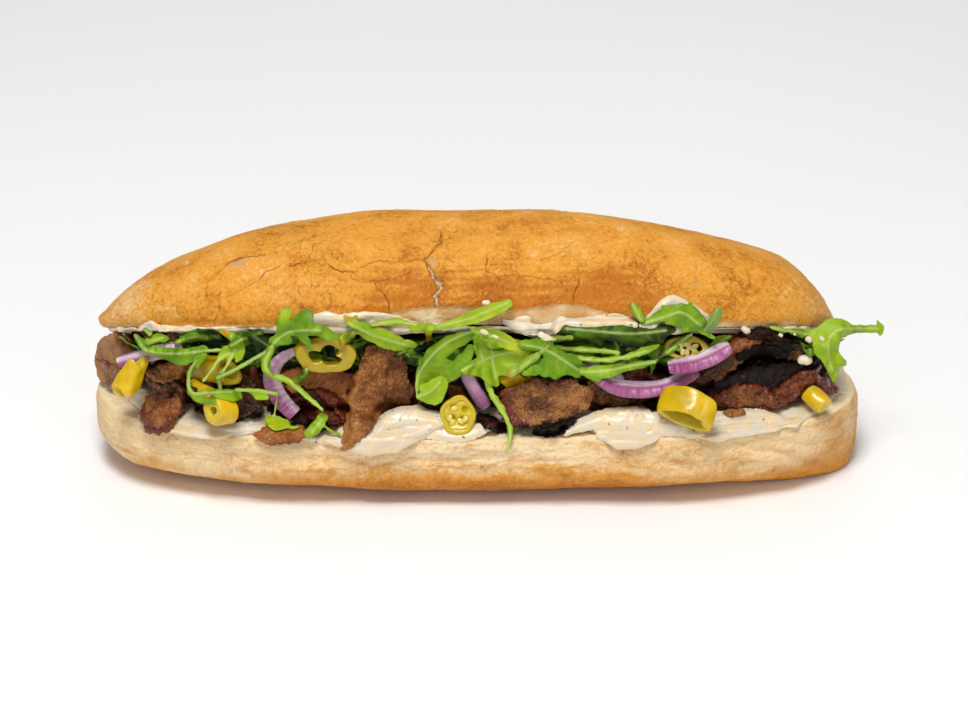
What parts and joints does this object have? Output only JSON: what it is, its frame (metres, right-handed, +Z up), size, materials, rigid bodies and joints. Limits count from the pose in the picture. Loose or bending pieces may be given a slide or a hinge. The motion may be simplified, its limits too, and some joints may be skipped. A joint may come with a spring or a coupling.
{
  "type": "beef doner sandwich",
  "caption": "Long crusty roll opened at the front and filled with sliced beef, pickled pepper rings, red onion, rocket and white garlic sauce.",
  "frame": {"origin": "middle of the flat underside of the roll, where it rests", "axes": "+X along the roll to the right, -Y towards the open filled front, +Z up"},
  "size_m": [0.3177, 0.1068, 0.1031],
  "materials": {
    "bread": "matt baked crust, pale crumb at the cut",
    "sauce": "soft gloss, creamy",
    "meat": "rough, slightly oily",
    "char": "rough, dark, oily edges",
    "pepper": "wet gloss",
    "onion": "moist satin",
    "rocket": "satin leaf",
    "rocket_pale": "satin leaf, paler side",
    "rocket_dark": "satin leaf, deep green"
  },
  "bodies": {
    "root": {"bread": "bread", "sauce_lower": "sauce", "sauce_upper": "sauce", "sauce_smear": "sauce", "meat_bed": "meat", "rocket_bed": "rocket_dark", "meat_slice_01": "meat", "meat_slice_02": "meat", "meat_slice_03": "meat", "meat_slice_04": "char", "meat_slice_05": "meat", "meat_slice_06": "char", "meat_slice_07": "meat", "meat_slice_08": "char", "meat_slice_09": "meat", "meat_slice_10": "meat", "meat_slice_11": "meat", "meat_slice_12": "char", "meat_slice_13": "char", "meat_slice_14": "meat", "meat_slice_15": "meat", "pepper_ring_01": "pepper", "pepper_ring_02": "pepper", "pepper_ring_03": "pepper", "pepper_ring_04": "pepper", "pepper_ring_05": "pepper", "pepper_ring_06": "pepper", "pepper_ring_07": "pepper", "pepper_ring_08": "pepper", "pepper_ring_09": "pepper", "pepper_ring_10": "pepper", "onion_strip_01": "onion", "onion_strip_02": "onion", "onion_strip_03": "onion", "onion_strip_04": "onion", "onion_strip_05": "onion", "onion_strip_06": "onion", "onion_strip_07": "onion", "rocket_leaf_01": "rocket", "rocket_leaf_02": "rocket", "rocket_leaf_03": "rocket_pale", "rocket_leaf_04": "rocket", "rocket_leaf_05": "rocket", "rocket_leaf_06": "rocket_pale", "rocket_leaf_07": "rocket", "rocket_leaf_08": "rocket_pale", "rocket_leaf_09": "rocket", "rocket_leaf_10": "rocket_dark", "rocket_leaf_11": "rocket", "rocket_leaf_12": "rocket_pale", "rocket_leaf_13": "rocket_pale", "rocket_leaf_14": "rocket", "rocket_leaf_15": "rocket", "rocket_leaf_16": "rocket", "rocket_leaf_17": "rocket", "rocket_leaf_18": "rocket", "rocket_leaf_19": "rocket", "rocket_stalk_01": "rocket_pale", "rocket_stalk_02": "rocket_pale", "rocket_stalk_03": "rocket_pale"}
  },
  "joints": []
}
